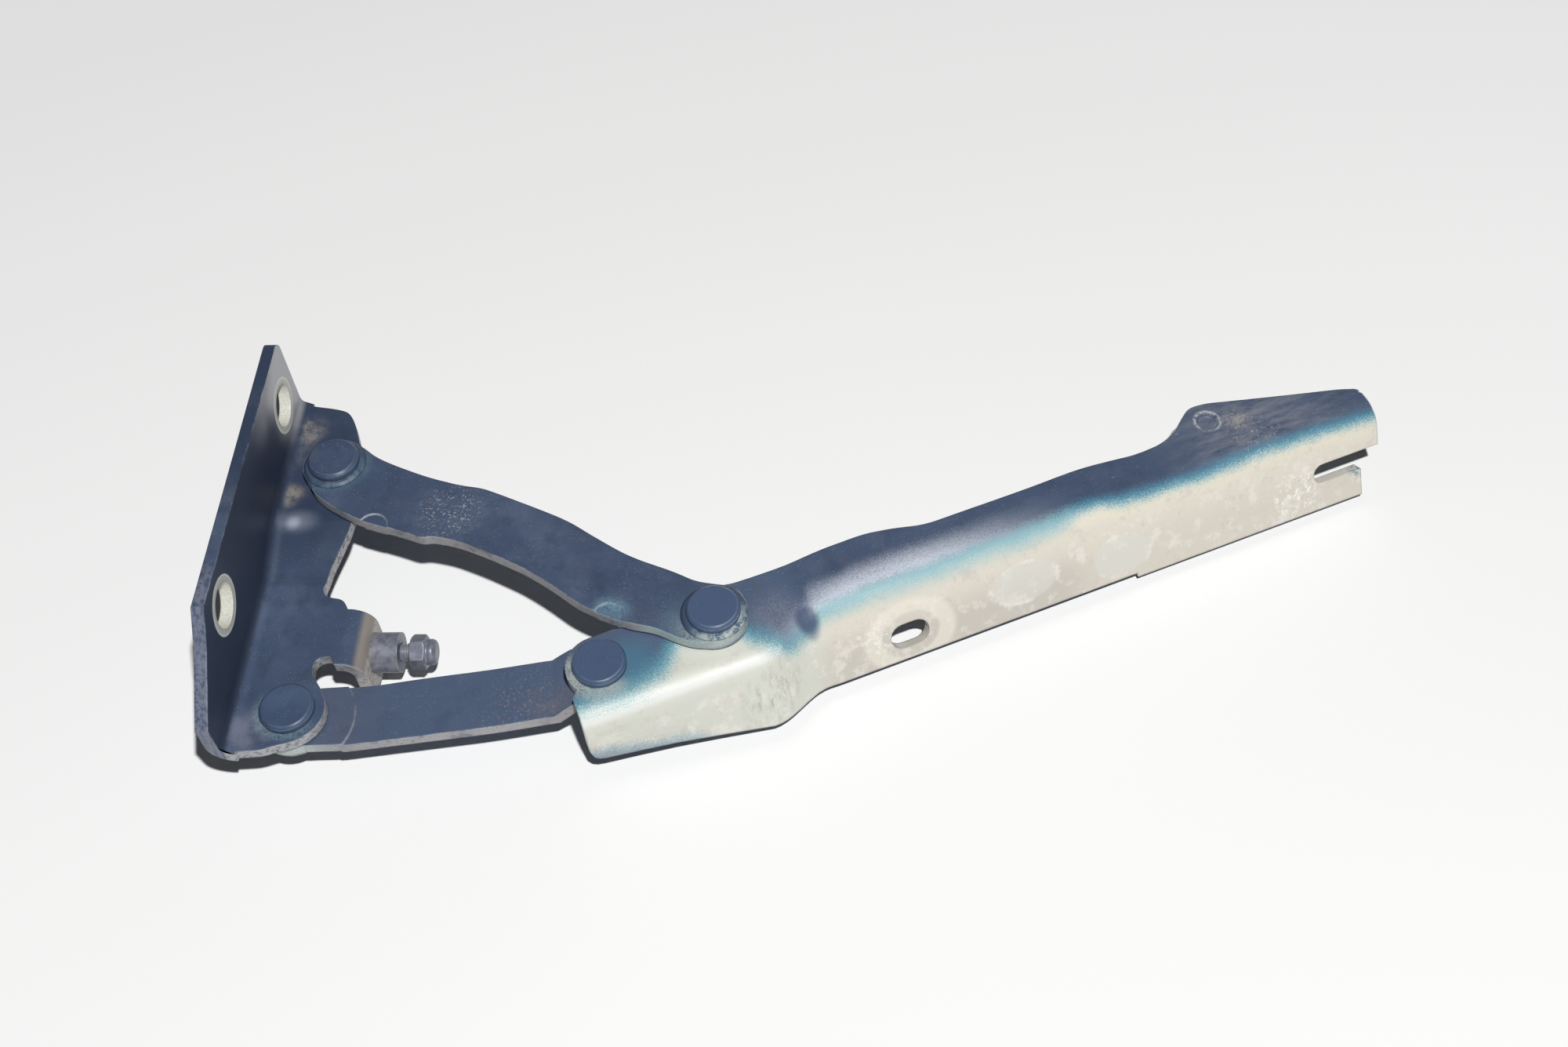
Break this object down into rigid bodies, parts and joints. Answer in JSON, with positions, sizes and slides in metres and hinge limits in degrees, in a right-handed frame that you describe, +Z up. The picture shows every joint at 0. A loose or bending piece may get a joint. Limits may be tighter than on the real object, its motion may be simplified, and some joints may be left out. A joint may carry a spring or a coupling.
{
  "type": "bonnet hinge",
  "caption": "Four-bar bonnet hinge of pressed steel: a body bracket, upper and lower links, a slotted flanged arm, riveted pivots and a closing stop screw.",
  "frame": {"origin": "centre of the lower bolt hole, on the mounting face of the body bracket's flange", "axes": "+X leads from the mounting face to the links and is the bolt's axis, +Y runs along the flange to the upper bolt hole, +Z is up as the hinge lies with its webs level"},
  "size_m": [0.374, 0.1368, 0.0596],
  "materials": {
    "paint": "dark blue body colour over primer, satin, worn to bare edges",
    "primer": "pale grey-beige primer with dark blue and teal overspray",
    "bush": "plain bearing metal, dull",
    "washer": "zinc plated steel"
  },
  "bodies": {
    "bracket": {"body_bracket": "paint", "stop_boss": "paint", "stop_screw": "paint", "rivet_bracket_upper": "paint", "spacer_bracket_upper": "bush", "rivet_bracket_lower": "paint", "washer_bracket_lower": "washer"},
    "lower": {"lower_link": "paint", "bush_arm_lower": "bush", "bush_bracket_lower": "bush"},
    "arm": {"bonnet_arm": "primer", "rivet_arm_lower": "paint", "washer_arm_lower": "washer"},
    "upper": {"upper_link": "paint", "bush_bracket_upper": "bush", "bush_arm_upper": "bush", "rivet_arm_upper": "paint", "spacer_arm_upper": "bush", "washer_arm_upper": "washer"}
  },
  "joints": [
    {"name": "lower_link_pivot", "type": "hinge", "parent": "bracket", "child": "lower", "pos_m": [0.0212, -0.0225, -0.027], "axis": [0, 0, -1], "range_deg": [0, 71.5]},
    {"name": "upper_link_pivot", "type": "hinge", "parent": "bracket", "child": "upper", "pos_m": [0.0223, 0.0674, -0.019], "axis": [0, 0, -1], "range_deg": [0, 49.6]},
    {"name": "arm_pivot", "type": "hinge", "parent": "lower", "child": "arm", "pos_m": [0.11751, -0.01016, -0.022], "axis": [0, 0, 1], "range_deg": [0, 143.5]}
  ],
  "couplings": [
    {"joint": "upper_link_pivot", "follows": "lower_link_pivot", "ratio": 0.6927},
    {"joint": "arm_pivot", "follows": "lower_link_pivot", "ratio": 2.0066}
  ]
}
